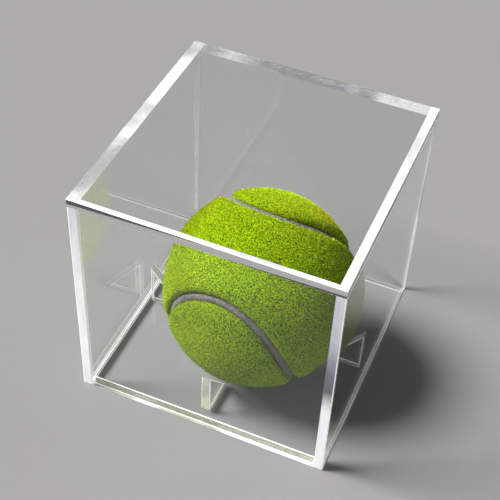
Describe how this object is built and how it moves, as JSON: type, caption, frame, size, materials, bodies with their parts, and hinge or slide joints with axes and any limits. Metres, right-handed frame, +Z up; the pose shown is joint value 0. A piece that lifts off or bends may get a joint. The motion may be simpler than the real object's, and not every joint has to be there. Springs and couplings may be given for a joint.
{
  "type": "ball display case",
  "caption": "Clear cube display case: a bonded cover lifts off an inset base plate with triangular ball stops, and a felt-covered ball stands inside.",
  "frame": {"origin": "middle of the closed case's underside, on the surface that it stands on", "axes": "+X to the right, +Y to the back, +Z up; the front wall is at -Y"},
  "size_m": [0.09, 0.092, 0.0875],
  "materials": {
    "clear_sheet": "polished",
    "clear_stop": "polished",
    "felt": "matte",
    "seam_rubber": "matte",
    "core_rubber": "matte"
  },
  "bodies": {
    "base": {"base_plate": "clear_sheet", "stop_front": "clear_stop", "stop_back": "clear_stop", "stop_left": "clear_stop", "stop_right": "clear_stop"},
    "cover": {"top_panel": "clear_sheet", "front_panel": "clear_sheet", "back_panel": "clear_sheet", "left_panel": "clear_sheet", "right_panel": "clear_sheet"},
    "ball": {"core_half_a": "core_rubber", "core_half_b": "core_rubber", "felt_panel_a": "felt", "felt_panel_b": "felt", "seam_strip": "seam_rubber"}
  },
  "joints": [
    {"name": "cover_lift", "type": "slide", "parent": "base", "child": "cover", "axis": [0, 0, 1], "range_m": [0, 0.09]},
    {"name": "ball_turn", "type": "hinge", "parent": "base", "child": "ball", "pos_m": [0.0058, -0.0093, 0.0365], "axis": [0, 0, 1], "continuous": true}
  ]
}
